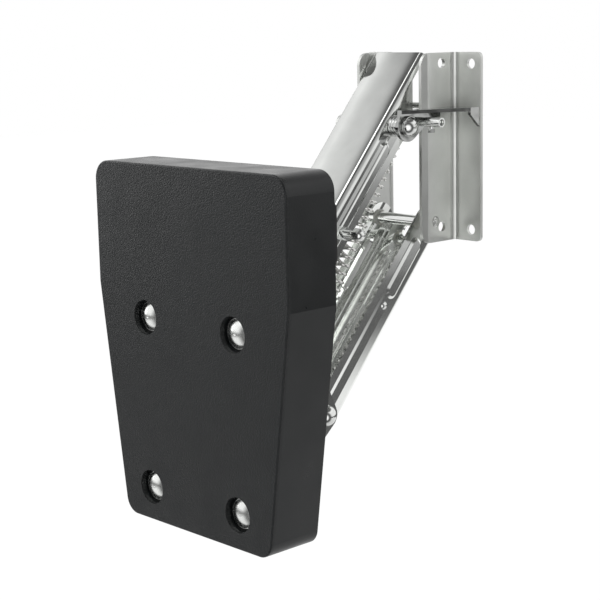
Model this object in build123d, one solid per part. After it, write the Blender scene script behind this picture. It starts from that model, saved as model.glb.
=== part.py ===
"""Folding bracket that carries a small outboard motor on a boat's transom.

Two folded angles bolt to the transom. Two parallel channel arms hinge on them and carry a
plastic motor board, and two extension springs help to lift the board.

Frame, in millimetres: the origin is the centre of the four transom bolt holes, on the face
that lies against the boat. X is across the boat, Y points forward through the transom and
Z is up, so that the motor board stands on the -Y side. The pieces are drawn with X from the
middle of the arms, and moved at the end, because the left angle stands nearer to the arms.
"""
from build123d import *
from math import atan2, cos, degrees, pi, radians, sin
import os

# Running and seating clearances
running_gap = 0.05
hole_gap = 0.1
side_gap = 0.25

# Transom angles, folded from one sheet each
angle_sheet = 3.0
angle_height = 165.0
angle_depth = 46.5
angle_width = 32.5
right_angle_x = 39.5
angle_bend = 6.5
angle_front_corner = 11.0
angle_flange_corner = 4.5
transom_hole_r = 4.5
transom_hole_reach = 21.5
transom_hole_z = 72.5
side_hole_y = -20.5
side_hole_zs = (-69.5, 73.5)

# Linkage, as centre distances seen from the side
upper_pivot = Vector(0, -66.5, 21.5)
lower_pivot = Vector(0, -27.5, -65.5)
arm_length = 200.0
arm_slope = 48.9

# Channel arms, measured from the line through an arm's two pivots
arm_width = 59.0
arm_sheet = 2.5
arm_bend = 4.5
web_offset = 12.0
edge_offset = 16.5
lower_web_offset = 18.5
upper_tail = 71.0
flange_cut_y = -43.3
axle_notch_r = 8.5
rib_width = 13.5
rib_height = 1.5
rib_slope = 1.6
rib_offset = -3.0
rib_start = 17.0
lower_rib_end = 79.0
web_rib_width = 9.0
web_rib_x = 11.0
web_rib_start = 22.0

# Bushes and spacers at the pivots
bush_sleeve_r = 6.2
bush_flange_r = 7.2
bush_flange = 1.2
axle_r = 5.2
axle_end_r = 3.0
axle_spacer_r = 7.2
weld_r = 5.0
weld_height = 1.3
weld_shift = 1.1
spacer_count = 4
spacer_r = 9.2

# Domed pivot bolts and their nuts
pivot_r = 5.0
head_r = 8.2
head_height = 5.4
left_head_r = 7.2
left_head_height = 3.0
washer_r = 9.0
washer = 1.6
head_washers = 2
nut_across = 16.0
nut_height = 5.4
thread_end = 1.5

# Ear bracket on the outer face of the right angle, and the left angle's own ear
left_ear_r = 8.0
left_ear_top = 36.0
left_ear_foot = 6.0
ear_sheet = 3.0
ear_r = 13.0
ear_rear_r = 8.5
ear_strip_end_y = -25.5
ear_strip_height = 8.0
shelf_z = 35.5
shelf_front_y = -77.0
shelf_front_reach = 2.0
shelf_rear_x = 71.0
gusset_depth = 12.0
gusset_height = 17.0

# Lock pin, beside the upper pivot on the right ear
lock_pin_y = -54.0
lock_pin_z = 25.0
lock_pin_r = 2.5
lock_guide_r = 3.9
lock_guide_length = 9.0
lock_sleeve_r = 4.1
lock_sleeve_length = 17.5
lock_sleeve_bore_r = 3.0
lock_sleeve_bore = 4.0
lock_clip_r = 3.8
lock_clip = 1.2
lock_spring_r = 3.1
lock_spring_wire_r = 0.35
lock_spring_turns = 4
set_screw_r = 1.5
set_screw_head_r = 2.7
set_screw_head = 3.2
set_screw_stand = 5.6

# Cross bolt through the upper arm
cross_bolt_along = 108.0
cross_bolt_offset = -6.5
cross_bolt_r = 3.0
cross_bolt_reach = 25.0
cross_nut_across = 10.0
cross_nut_height = 5.0
cap_nut_height = 9.0

# Rivets in the lower arm
rivet_along = 87.0
rivet_offset = -3.5
rivet_r = 2.0
rivet_head_r = 3.5
rivet_head = 1.6
web_rivet_along = 118.0

# Extension springs
spring_x = 11.0
spring_r = 7.7
wire_side = 2.8
spring_pitch = 7.6
turn_steps = 8
hook_r = 5.2
hook_steps = 8
hook_reach = 13.0
anchor_r = 3.0
upper_anchor = Vector(0, -28.9, 37.0)
lower_anchor_lift = 33.3
anchor_sleeve_r = 5.4

# Motor board
board_width = 234.0
board_foot_width = 180.0
board_centre_x = 1.5
board_height = 300.0
board_thickness = 50.0
board_taper_start = 102.5
board_top_z = 1.5
board_front_y = -278.5
board_corner = 16.0
board_foot_corner = 14.0
board_edge = 1.3
recess_r = 14.5
recess_depth = 7.0

# Carriage bolts that hold the board to its carrier
bolt_x = 54.5
bolt_top_z = -125.0
bolt_drop = 145.0
carriage_r = 5.0
carriage_head_r = 12.3
carriage_rim = 1.2
carriage_crown_r = 11.6
carriage_crown = 3.4
carriage_neck = 6.0
carriage_washer_r = 10.0
carriage_nut_across = 17.0
carriage_nut = 8.0

# Carrier angles behind the board
carrier_sheet = 4.0
carrier_flange_x = 72.0
carrier_bend = 7.0
carrier_eye_r = 11.5
carrier_top_z = -100.0
carrier_foot_z = -288.0
carrier_corner = 8.0

# Clamp pad on the back of the board
pad_width = 230.0
pad_height = 47.0
pad_thickness = 4.0
pad_top_z = -23.5
pad_corner = 4.0
pad_screw_r = 4.0
pad_screw_head = 2.0
pad_screw_sink_r = 4.3
pad_screw_sink = 2.4
pad_screw_x = 96.0
pad_screw_z = 14.0

# Worked out from the driving dimensions
slope = radians(arm_slope)
along = Vector(0, -cos(slope), -sin(slope))
across = Vector(0, -sin(slope), cos(slope))
lower_carrier_pivot = lower_pivot + along * arm_length
upper_carrier_pivot = upper_pivot + along * arm_length
pivot_rise = (upper_pivot - lower_pivot).normalized()
lower_anchor = lower_carrier_pivot + pivot_rise * lower_anchor_lift
arm_side = arm_width / 2
arm_inside = arm_side - arm_sheet
left_angle_x = arm_side + rib_height + side_gap
hole_centre_x = (right_angle_x - left_angle_x) / 2
ear_x = right_angle_x + angle_sheet
ear_face_x = ear_x + ear_sheet
head_seat_x = ear_face_x + head_washers * washer
carrier_inner_x = arm_side + rib_height + 2 * side_gap
board_back_y = board_front_y + board_thickness
carrier_face_y = board_back_y + carrier_sheet
carrier_side_x = carrier_inner_x + carrier_sheet
bolt_zs = (bolt_top_z, bolt_top_z - bolt_drop)


def rod(radius, start, end, centre):
    """A round bar along X between two x positions, on an axis through centre."""
    plane = Plane(origin=(start, centre.Y, centre.Z), z_dir=(1, 0, 0))
    return plane * extrude(Circle(radius), end - start)


def tube(outer, inner, start, end, centre):
    """A round tube along X."""
    return rod(outer, start, end, centre) - rod(inner, start - 1, end + 1, centre)


def hexagon(across_flats, start, end, centre):
    """A hexagonal bar along X."""
    plane = Plane(origin=(start, centre.Y, centre.Z), z_dir=(1, 0, 0))
    return plane * extrude(RegularPolygon(across_flats / 2, 6, major_radius=False), end - start)


def slab(outline, height):
    """A flat outline drawn out along its own Z."""
    return extrude(outline, height, dir=(0, 0, 1))


def cap(radius, height):
    """A round-topped cap that stands on its sketch plane."""
    centre = (radius**2 - height**2) / (2 * height)
    half = atan2(radius, centre) / 2
    top_r = centre + height
    crest = ThreePointArc((radius, 0), (top_r * sin(half), top_r * cos(half) - centre), (0, height))
    profile = make_face([Line((0, 0), (radius, 0)), crest, Line((0, height), (0, 0))])
    return revolve(Plane.XZ * profile, Axis.Z)


def dome(radius, height, start, centre, way):
    """A cap along X that points the given way from its base."""
    return Plane(origin=(start, centre.Y, centre.Z), z_dir=(way, 0, 0)) * cap(radius, height)


def mirrored(shape):
    """The same piece on the other side of the boat's centre plane."""
    return shape.mirror(Plane.YZ)


def both_sides(shape):
    """One group of the piece and its mirror image."""
    return Compound(children=[shape, mirrored(shape)])


def side_plane(pivot):
    """Sketch plane of an arm's side: x runs down the arm and y points to its upper side."""
    return Plane(origin=pivot, x_dir=along, z_dir=(-1, 0, 0))


def on_arm(pivot, distance, offset):
    """The point at a distance down an arm and an offset to its upper side."""
    return pivot + along * distance + across * offset


def transom_angle(inner_x):
    """Transom angle, drawn on the right: a deep side flange and a narrower flange with the
    bolt holes. Its side flange starts at the given distance from the middle of the arms."""
    end_x = inner_x + angle_width
    outer = Pos(inner_x, -angle_depth) * Rectangle(angle_width, angle_depth, align=Align.MIN)
    inner = Pos(inner_x + angle_sheet, -angle_depth) * Rectangle(
        angle_width, angle_depth - angle_sheet, align=Align.MIN
    )
    outer = fillet(outer.vertices().sort_by(lambda v: v.X - v.Y)[0], angle_bend)
    inner = fillet(inner.vertices().sort_by(lambda v: v.X - v.Y)[0], angle_bend - angle_sheet)
    angle = Pos(0, 0, -angle_height / 2) * extrude(outer - inner, angle_height)
    front = angle.edges().filter_by(Axis.X).group_by(Axis.Y)[0]
    angle = fillet(front, angle_front_corner)
    flange = angle.edges().filter_by(Axis.Y).group_by(Axis.X)[-1]
    angle = fillet(flange, angle_flange_corner)
    for z in (-transom_hole_z, transom_hole_z):
        drill = Plane(origin=(inner_x + transom_hole_reach, 0, z), z_dir=(0, -1, 0))
        angle -= drill * extrude(Circle(transom_hole_r), angle_depth)
    for z in side_hole_zs:
        angle -= rod(transom_hole_r, 0, end_x, Vector(0, side_hole_y, z))
    return angle - rod(axle_end_r, 0, end_x, lower_pivot)


def left_transom_angle():
    """Left transom angle, with the eye of the upper pivot in its own sheet."""
    side = Plane(origin=(left_angle_x, 0, 0), x_dir=(0, 1, 0), z_dir=(1, 0, 0))
    root = [
        Line((y, left_ear_foot), (y, left_ear_top)) for y in (-angle_depth, -angle_depth + angle_sheet)
    ]
    eye = Pos(upper_pivot.Y, upper_pivot.Z) * Circle(left_ear_r)
    ear = side * slab(make_hull(eye.edges() + root), angle_sheet)
    ear -= rod(pivot_r + hole_gap, 0, left_angle_x + angle_width, upper_pivot)
    return mirrored(transom_angle(left_angle_x) + ear)


def ear_bracket():
    """Ear bracket of the right angle: an eye for the upper pivot, a strip welded along the angle, and a
    shelf that widens to meet the transom flange and turns down at its outer corner."""
    lock = Vector(0, lock_pin_y, lock_pin_z)
    side = Plane(origin=(ear_x, 0, 0), x_dir=(0, 1, 0), z_dir=(1, 0, 0))
    eye = make_hull(
        (Pos(upper_pivot.Y, upper_pivot.Z) * Circle(ear_r)).edges()
        + (Pos(lock.Y, lock.Z) * Circle(ear_rear_r)).edges()
    )
    strip = Polygon(
        (shelf_front_y, shelf_z),
        (shelf_front_y, upper_pivot.Z),
        (lock.Y, upper_pivot.Z),
        (lock.Y + ear_rear_r, shelf_z - ear_strip_height),
        (ear_strip_end_y, shelf_z - ear_strip_height),
        (ear_strip_end_y, shelf_z),
        align=None,
    )
    plate = side * slab(eye + strip, ear_sheet)
    plan = Polygon(
        (ear_x, shelf_front_y),
        (ear_face_x + shelf_front_reach, shelf_front_y),
        (shelf_rear_x, -angle_sheet - gusset_depth),
        (shelf_rear_x, -angle_sheet),
        (ear_x, -angle_sheet),
        align=None,
    )
    shelf = Pos(0, 0, shelf_z) * slab(plan, -ear_sheet)
    corner = Plane(origin=(shelf_rear_x - ear_sheet, 0, 0), x_dir=(0, 1, 0), z_dir=(1, 0, 0))
    gusset = corner * slab(
        Polygon(
            (-angle_sheet, shelf_z),
            (-angle_sheet - gusset_depth, shelf_z),
            (-angle_sheet - gusset_depth, shelf_z - 2 * ear_sheet),
            (-angle_sheet, shelf_z - gusset_height),
            align=None,
        ),
        ear_sheet,
    )
    bracket = plate + shelf + gusset
    bend = 2 * (angle_bend - angle_sheet)
    bracket -= Pos(ear_x, -angle_sheet, shelf_z) * Box(bend, bend, bend)
    bracket -= rod(pivot_r + hole_gap, 0, ear_face_x + 1, upper_pivot)
    return bracket - rod(lock_pin_r + running_gap, 0, ear_face_x + 1, lock)


def channel_section(web_up):
    """Cross-section of an arm: a folded U whose web lies above or below its pivots."""
    way = 1 if web_up else -1
    web = web_offset if web_up else lower_web_offset
    edge = edge_offset if web_up else web_offset
    depth = web + edge
    middle = way * (web - edge) / 2
    outer = Pos(0, middle) * Rectangle(arm_width, depth)
    inner = Pos(0, middle - way * arm_sheet) * Rectangle(2 * arm_inside, depth)
    corner = -1 if web_up else 0
    outer = fillet(outer.vertices().group_by(Axis.Y)[corner], arm_bend)
    inner = fillet(inner.vertices().group_by(Axis.Y)[corner], arm_bend - arm_sheet)
    return outer - inner


def channel(pivot, web_up, outline, start):
    """A length of channel from start to the arm's far end, trimmed to its side outline."""
    section = Plane(origin=pivot + along * start, x_dir=(1, 0, 0), z_dir=along)
    bar = section * extrude(channel_section(web_up), arm_length + edge_offset - start)
    return bar & (side_plane(pivot) * extrude(outline, arm_width, both=True))


def slot(length, width, height):
    """A pressed rib's form, a long round-ended pad with sloping sides."""
    return extrude(SlotOverall(length, width), height, taper=degrees(atan2(rib_slope, 1)))


def side_rib(pivot, start, end):
    """Rib pressed outwards in the right flange: its pad outside and its hollow inside."""
    centre = on_arm(pivot, (start + end) / 2, rib_offset)
    outside = Plane(origin=centre + Vector(arm_side, 0, 0), x_dir=along, z_dir=(1, 0, 0))
    inside = Plane(origin=centre + Vector(arm_inside, 0, 0), x_dir=along, z_dir=(1, 0, 0))
    hollow = rib_width - 2 * rib_height
    length = end - start
    return (
        outside * slot(length, rib_width, rib_height),
        inside * slot(length - 2 * rib_height, hollow, rib_height),
    )


def press_ribs(arm, pivot, start, end):
    """Presses the same rib into both flanges of an arm."""
    pad, hollow = side_rib(pivot, start, end)
    return arm + pad + mirrored(pad) - hollow - mirrored(hollow)


def bush_holes(arm, pivot):
    """Bores the bush seats at both ends of an arm."""
    for distance in (0, arm_length):
        arm -= rod(bush_sleeve_r, -arm_width, arm_width, on_arm(pivot, distance, 0))
    return arm


def upper_arm_channel():
    """Upper arm: web on top, running on past the pivot as a tail, with its flanges cut
    back upright in front of the transom angles."""
    reach = flange_cut_y - upper_pivot.Y
    lip = web_offset - arm_bend
    cut_top = -(reach + lip * sin(slope)) / cos(slope)
    cut_foot = -(reach - edge_offset * sin(slope)) / cos(slope)
    outline = Polygon(
        (-upper_tail, web_offset),
        (-upper_tail, lip),
        (cut_top, lip),
        (cut_foot, -edge_offset),
        (arm_length, -edge_offset),
        (arm_length, web_offset),
        align=None,
    )
    middle = (web_offset - edge_offset) / 2
    outline += Pos(arm_length, middle) * Circle((web_offset + edge_offset) / 2)
    arm = channel(upper_pivot, True, outline, -upper_tail)
    arm = press_ribs(arm, upper_pivot, rib_start, arm_length - rib_start)
    arm = bush_holes(arm, upper_pivot)
    bolt = on_arm(upper_pivot, cross_bolt_along, cross_bolt_offset)
    return arm - rod(cross_bolt_r + hole_gap, -arm_width, arm_width, bolt)


def lower_arm_channel():
    """Lower arm: web below, notched round the axle, with two ribs along the web."""
    middle = (web_offset - lower_web_offset) / 2
    end_r = (web_offset + lower_web_offset) / 2
    outline = Pos(arm_length / 2, middle) * SlotCenterToCenter(arm_length, 2 * end_r)
    arm = channel(lower_pivot, False, outline, -end_r)
    arm = press_ribs(arm, lower_pivot, rib_start, lower_rib_end)
    web = Plane(origin=on_arm(lower_pivot, 0, -lower_web_offset), x_dir=(1, 0, 0), z_dir=across)
    arm -= web * extrude(Circle(axle_notch_r), 2 * arm_sheet, both=True)
    length = arm_length - web_rib_start - rib_start
    middle = (arm_length - rib_start + web_rib_start) / 2
    for x in (-web_rib_x, web_rib_x):
        outside = on_arm(lower_pivot, middle, -lower_web_offset) + Vector(x, 0, 0)
        inside = on_arm(lower_pivot, middle, arm_sheet - lower_web_offset) + Vector(x, 0, 0)
        pad = Plane(origin=outside, x_dir=along, z_dir=across * -1)
        hollow = Plane(origin=inside, x_dir=along, z_dir=across * -1)
        arm += pad * slot(length, web_rib_width, rib_height)
        arm -= hollow * slot(length - 2 * rib_height, web_rib_width - 2 * rib_height, rib_height)
    arm = bush_holes(arm, lower_pivot)
    arm -= rod(rivet_r, -arm_width, arm_width, on_arm(lower_pivot, rivet_along, rivet_offset))
    hole = Plane(origin=on_arm(lower_pivot, web_rivet_along, -lower_web_offset), z_dir=across)
    return arm - hole * extrude(Circle(rivet_r), 2 * arm_sheet, both=True)


def bushes(pivot, first_r):
    """Flanged bushes in the four flange holes of an arm, with their flanges inside."""
    made = []
    for distance, bore in ((0, first_r), (arm_length, pivot_r)):
        centre = on_arm(pivot, distance, 0)
        sleeve = rod(bush_sleeve_r, arm_inside, arm_side, centre)
        flange = rod(bush_flange_r, arm_inside - bush_flange, arm_inside, centre)
        bush = sleeve + flange - rod(bore + running_gap, 0, arm_width, centre)
        made += [bush, mirrored(bush)]
    return Compound(children=made)


def spacers(inner_r, outer_r, start, end, centre, count=1):
    """A stack of equal rings on the right-hand side of an arm."""
    step = (end - start) / count
    return [
        tube(outer_r, inner_r, start + i * step, start + (i + 1) * step, centre) for i in range(count)
    ]


def short_pivot_bolt(base, radius, height):
    """Domed bolt, drawn on the right, that holds the upper arm to an ear."""
    inner_end = arm_inside - bush_flange - side_gap - nut_height - thread_end / 2
    return dome(radius, height, base, upper_pivot, 1) + rod(pivot_r, inner_end, base, upper_pivot)


def long_pivot_bolt(centre):
    """Domed bolt through both carrier angles and an arm's end."""
    base = carrier_side_x + washer
    end = -base - nut_height - thread_end
    return dome(head_r, head_height, base, centre, 1) + rod(pivot_r, end, base, centre)


def helix_point(turn, start, length, turns):
    """A point of the coil's centre line, in the spring's own frame with z down the spring."""
    radius = spring_r - wire_side / 2
    angle = 2 * pi * turn
    return Vector(radius * cos(angle), radius * sin(angle), start + length * turn / turns)


def spring():
    """Right extension spring: a hook round each anchor and open coils between them, as one
    square bar bent in short straight runs."""
    span = lower_anchor - upper_anchor
    length = span.length - 2 * hook_reach
    turns = round(length / spring_pitch)
    centre_r = spring_r - wire_side / 2
    upper_hook = [
        Vector(hook_r * sin(a), 0, -hook_r * cos(a))
        for a in (radians(-100 + 190 * i / hook_steps) for i in range(hook_steps + 1))
    ]
    coil = [
        helix_point(i / turn_steps, hook_reach, length, turns) for i in range(turns * turn_steps + 1)
    ]
    lower_hook = [Vector(p.X, 0, span.length - p.Z) for p in reversed(upper_hook)]
    path = Polyline(*upper_hook, *coil, *lower_hook)
    start = Plane(origin=path @ 0, z_dir=path % 0)
    wire = sweep(start * Rectangle(wire_side, wire_side), path=path, transition=Transition.RIGHT)
    frame = Plane(
        origin=upper_anchor + Vector(spring_x, 0, 0), x_dir=span.cross(Vector(1, 0, 0)), z_dir=span
    )
    return frame * wire


def lock_pin_parts():
    """Spring-loaded lock pin beside the upper pivot, with its guide, sleeve and set screw."""
    lock = Vector(0, lock_pin_y, lock_pin_z)
    nose = arm_side + 2 * side_gap
    sleeve_start = ear_face_x + lock_guide_length + side_gap
    sleeve_end = sleeve_start + lock_sleeve_length
    clip_end = nose + 1 + lock_clip
    seat = sleeve_end - lock_sleeve_bore
    screw_x = sleeve_start + lock_sleeve_length / 3
    down = Plane(origin=(screw_x, lock.Y, lock.Z), z_dir=(0, 0, -1))
    screw = down * (
        Pos(0, 0, lock_pin_r) * extrude(Circle(set_screw_r), set_screw_stand - lock_pin_r)
        + Pos(0, 0, set_screw_stand)
        * extrude(RegularPolygon(set_screw_head_r, 6, major_radius=False), set_screw_head)
    )
    hole = down * extrude(Circle(set_screw_r), 2 * lock_sleeve_r)
    sleeve = tube(lock_sleeve_r, lock_pin_r, sleeve_start, sleeve_end, lock)
    sleeve = sleeve - rod(lock_sleeve_bore_r, seat, sleeve_end + 1, lock) - hole
    wire = helix_spring(clip_end + side_gap, ear_x, lock)
    return {
        "lock_pin_guide": tube(
            lock_guide_r, lock_pin_r + running_gap, ear_face_x, ear_face_x + lock_guide_length, lock
        ),
        "lock_pin": rod(lock_pin_r, nose, seat + 1, lock),
        "lock_pin_clip": tube(lock_clip_r, lock_pin_r, nose + 1, clip_end, lock),
        "lock_pin_sleeve": sleeve,
        "lock_pin_set_screw": screw,
        "lock_pin_spring": wire,
    }


def helix_spring(start, end, centre):
    """Small return spring round the lock pin."""
    length = end - start - 2 * lock_spring_wire_r
    coil = Helix(length / lock_spring_turns, length, lock_spring_r)
    section = Plane(origin=coil @ 0, z_dir=coil % 0) * Circle(lock_spring_wire_r)
    wire = sweep(section, path=coil, is_frenet=True)
    return Plane(origin=(start + lock_spring_wire_r, centre.Y, centre.Z), z_dir=(1, 0, 0)) * wire


def motor_board():
    """Thick plastic board, narrower at its foot, with four recessed bolt holes."""
    foot = board_top_z - board_height
    shoulder = board_top_z - board_taper_start
    outline = Polygon(
        (-board_width / 2, board_top_z),
        (board_width / 2, board_top_z),
        (board_width / 2, shoulder),
        (board_foot_width / 2, foot),
        (-board_foot_width / 2, foot),
        (-board_width / 2, shoulder),
        align=None,
    )
    outline = fillet(outline.vertices().group_by(Axis.Y)[-1], board_corner)
    outline = Pos(board_centre_x, 0) * fillet(outline.vertices().group_by(Axis.Y)[0], board_foot_corner)
    front = Plane(origin=(0, board_front_y, 0), x_dir=(1, 0, 0), z_dir=(0, -1, 0))
    board = front * slab(outline, -board_thickness)
    rim = board.faces().sort_by(Axis.Y)[0].edges()
    board = fillet(rim, board_edge)
    for x in (-bolt_x, bolt_x):
        for z in bolt_zs:
            hole = Plane(origin=(x, board_front_y, z), z_dir=(0, 1, 0))
            board -= hole * extrude(Circle(recess_r), recess_depth)
            board -= hole * extrude(Circle(carriage_r + hole_gap), board_thickness)
            neck = 2 * (carriage_r + hole_gap)
            board -= hole * extrude(Rectangle(neck, neck), recess_depth + carriage_neck)
    return board


def carrier_angle():
    """Right carrier angle: a flange bolted behind the board and a side plate whose edge
    runs through both arm pivots."""
    outer = Pos(carrier_inner_x, board_back_y) * Rectangle(
        carrier_flange_x - carrier_inner_x, board_thickness * 2, align=Align.MIN
    )
    inner = Pos(carrier_side_x, carrier_face_y) * Rectangle(
        carrier_flange_x, board_thickness * 2, align=Align.MIN
    )
    outer = fillet(outer.vertices().sort_by(lambda v: v.X + v.Y)[0], carrier_bend)
    inner = fillet(inner.vertices().sort_by(lambda v: v.X + v.Y)[0], carrier_bend - carrier_sheet)
    height = carrier_top_z - carrier_foot_z
    angle = Pos(0, 0, carrier_foot_z) * extrude(outer - inner, height)
    side = Plane(origin=(0, 0, 0), x_dir=(0, 1, 0), z_dir=(1, 0, 0))
    outline = make_hull(
        (Pos(upper_carrier_pivot.Y, upper_carrier_pivot.Z) * Circle(carrier_eye_r)).edges()
        + (Pos(lower_carrier_pivot.Y, lower_carrier_pivot.Z) * Circle(carrier_eye_r)).edges()
        + [
            Line((board_back_y, z), (carrier_face_y, z)) for z in (carrier_top_z, carrier_foot_z)
        ]
    )
    angle &= side * slab(outline, carrier_flange_x + 1)
    flange = angle.edges().filter_by(Axis.Y).group_by(Axis.X)[-1]
    angle = fillet(flange, carrier_corner)
    for z in bolt_zs:
        hole = Plane(origin=(bolt_x, board_back_y, z), z_dir=(0, 1, 0))
        angle -= hole * extrude(Circle(carriage_r + hole_gap), 2 * carrier_sheet)
    for pivot in (upper_carrier_pivot, lower_carrier_pivot):
        angle -= rod(pivot_r + hole_gap, 0, carrier_side_x + 1, pivot)
    return angle - rod(anchor_r, 0, carrier_side_x + 1, lower_anchor)


def board_fasteners():
    """The four carriage bolts through the board, with their washers and nuts."""
    bolts, washers, nuts = [], [], []
    head_y = board_front_y + recess_depth
    end_y = carrier_face_y + washer + carriage_nut + thread_end
    for x in (-bolt_x, bolt_x):
        for z in bolt_zs:
            base = Plane(origin=(x, head_y, z), x_dir=(1, 0, 0), z_dir=(0, -1, 0))
            neck = extrude(Rectangle(2 * carriage_r, 2 * carriage_r), -carriage_neck)
            shank = extrude(Circle(carriage_r), head_y - end_y)
            head = extrude(Circle(carriage_head_r), carriage_rim)
            head += Pos(0, 0, carriage_rim) * cap(carriage_crown_r, carriage_crown)
            bolts.append(base * (head + neck + shank))
            seat = Plane(origin=(x, carrier_face_y, z), x_dir=(1, 0, 0), z_dir=(0, 1, 0))
            hole = extrude(Circle(carriage_r + hole_gap), 2 * carriage_nut)
            washers.append(seat * (extrude(Circle(carriage_washer_r), washer) - hole))
            nut = extrude(RegularPolygon(carriage_nut_across / 2, 6, major_radius=False), carriage_nut)
            nuts.append(seat * (Pos(0, 0, washer) * nut - hole))
    return {
        "carriage_bolts": Compound(children=bolts),
        "carriage_bolt_washers": Compound(children=washers),
        "carriage_bolt_nuts": Compound(children=nuts),
    }


def clamp_pad():
    """Flat pad on the back of the board, and the sunk screws that hold it."""
    middle_z = pad_top_z - pad_height / 2
    back = Plane(origin=(board_centre_x, board_back_y, middle_z), x_dir=(1, 0, 0), z_dir=(0, 1, 0))
    pad = back * extrude(RectangleRounded(pad_width, pad_height, pad_corner), pad_thickness)
    screws = []
    for x in (-pad_screw_x, pad_screw_x):
        for z in (-pad_screw_z, pad_screw_z):
            seat = back * Pos(x, z, pad_thickness - pad_screw_sink)
            pad -= seat * extrude(Circle(pad_screw_sink_r), pad_thickness)
            screws.append(seat * cap(pad_screw_r, pad_screw_head))
    return {"clamp_pad": pad, "clamp_pad_screws": Compound(children=screws)}


def cross_bolt():
    """Long bolt across the upper arm that reaches out on the right and ends in a cap nut."""
    centre = on_arm(upper_pivot, cross_bolt_along, cross_bolt_offset)
    seat = arm_side + rib_height
    end = arm_side + cross_bolt_reach
    crown = end - cap_nut_height / 3
    head = hexagon(cross_nut_across, -seat - cross_nut_height, -seat, centre)
    lock_nut = hexagon(cross_nut_across, seat, seat + cross_nut_height, centre)
    cap_nut = hexagon(cross_nut_across, end - cap_nut_height, crown, centre)
    cap_nut += dome(cross_nut_across / 2, cap_nut_height / 3, crown, centre, 1)
    return {
        "cross_bolt": head + rod(cross_bolt_r, -seat, end - 1, centre),
        "cross_bolt_nut": lock_nut - rod(cross_bolt_r, 0, end, centre),
        "cross_bolt_cap_nut": cap_nut - rod(cross_bolt_r, 0, end - 1, centre),
    }


def rivets():
    """Round-headed rivets in the lower arm: one in each flange and one in the web."""
    centre = on_arm(lower_pivot, rivet_along, rivet_offset)
    side = rod(rivet_r, arm_inside, arm_side, centre)
    side += dome(rivet_head_r, rivet_head, arm_side, centre, 1)
    web = Plane(origin=on_arm(lower_pivot, web_rivet_along, -lower_web_offset), z_dir=across)
    head = Pos(0, 0, arm_sheet) * cap(rivet_head_r, rivet_head)
    bottom = web * (extrude(Circle(rivet_r), arm_sheet) + head)
    return Compound(children=[side, mirrored(side), bottom])


def lower_axle():
    """Bar between the angles on which the lower arm turns, with a spigot through each angle,
    the weld bead over each spigot and the spacers beside the arm."""
    faces = (-left_angle_x - angle_sheet, ear_x)
    axle = rod(axle_r, -left_angle_x, right_angle_x, lower_pivot)
    axle += rod(axle_end_r, *faces, lower_pivot)
    centre = lower_pivot + Vector(0, -weld_shift, weld_shift)
    beads = [dome(weld_r, weld_height, face, centre, way) for face, way in zip(faces, (-1, 1))]
    bore = axle_r + running_gap
    seat = arm_side + side_gap
    return {
        "lower_axle": axle,
        "axle_welds": Compound(children=beads),
        "axle_spacer_right": tube(axle_spacer_r, bore, seat, right_angle_x, lower_pivot),
        "axle_spacer_left": tube(axle_spacer_r, bore, -left_angle_x, -seat, lower_pivot),
    }


def upper_pivot_fasteners():
    """Bolts, head washers, nuts and spacers at the two upper pivots."""
    nut_end = arm_inside - bush_flange - side_gap
    nut = hexagon(nut_across, nut_end - nut_height, nut_end, upper_pivot) - rod(
        pivot_r, 0, arm_width, upper_pivot
    )
    bore = pivot_r + hole_gap
    seat = arm_side + side_gap
    left_seat_x = left_angle_x + angle_sheet
    return {
        "upper_pivot_bolt_right": short_pivot_bolt(head_seat_x, head_r, head_height),
        "upper_pivot_bolt_left": mirrored(
            short_pivot_bolt(left_seat_x, left_head_r, left_head_height)
        ),
        "upper_pivot_washers": Compound(
            children=spacers(bore, washer_r, ear_face_x, head_seat_x, upper_pivot, head_washers)
        ),
        "upper_pivot_nuts": both_sides(nut),
        "upper_pivot_spacers_right": Compound(
            children=spacers(bore, spacer_r, seat, ear_x, upper_pivot, spacer_count)
        ),
        "upper_pivot_spacer_left": tube(spacer_r, bore, -left_angle_x, -seat, upper_pivot),
    }


def carrier_fasteners():
    """The two long bolts through the carrier, with nuts, outer washers and thin spacers."""
    washers, thin = [], []
    made = {}
    for name, centre in (("upper", upper_carrier_pivot), ("lower", lower_carrier_pivot)):
        made[name + "_carrier_bolt"] = long_pivot_bolt(centre)
        seat = carrier_side_x + washer
        nut = hexagon(nut_across, -seat - nut_height, -seat, centre)
        made[name + "_carrier_nut"] = nut - rod(pivot_r, -seat - nut_height - 1, 0, centre)
        outer = tube(washer_r, pivot_r + hole_gap, carrier_side_x, seat, centre)
        ring = tube(spacer_r, pivot_r + hole_gap, arm_side + side_gap, carrier_inner_x, centre)
        washers += [outer, mirrored(outer)]
        thin += [ring, mirrored(ring)]
    made["carrier_bolt_washers"] = Compound(children=washers)
    made["carrier_spacers"] = Compound(children=thin)
    return made


right_spring = spring()
parts = {
    "transom_angle_right": transom_angle(right_angle_x),
    "transom_angle_left": left_transom_angle(),
    "ear_bracket": ear_bracket(),
    "upper_spring_anchor": rod(anchor_r, -left_angle_x, right_angle_x, upper_anchor),
    "lower_spring_anchor": rod(anchor_r, -carrier_side_x, carrier_side_x, lower_anchor),
    "spring_spacer": tube(
        anchor_sleeve_r,
        anchor_r + running_gap,
        -spring_x + wire_side,
        spring_x - wire_side,
        upper_anchor,
    ),
    "spring_right": right_spring,
    "spring_left": Pos(-2 * spring_x, 0, 0) * right_spring,
    "upper_arm_channel": upper_arm_channel(),
    "upper_arm_bushes": bushes(upper_pivot, pivot_r),
    "lower_arm_channel": lower_arm_channel(),
    "lower_arm_bushes": bushes(lower_pivot, axle_r),
    "lower_arm_rivets": rivets(),
    "motor_board": motor_board(),
    "carrier_angle_right": carrier_angle(),
    "carrier_angle_left": mirrored(carrier_angle()),
}
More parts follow.
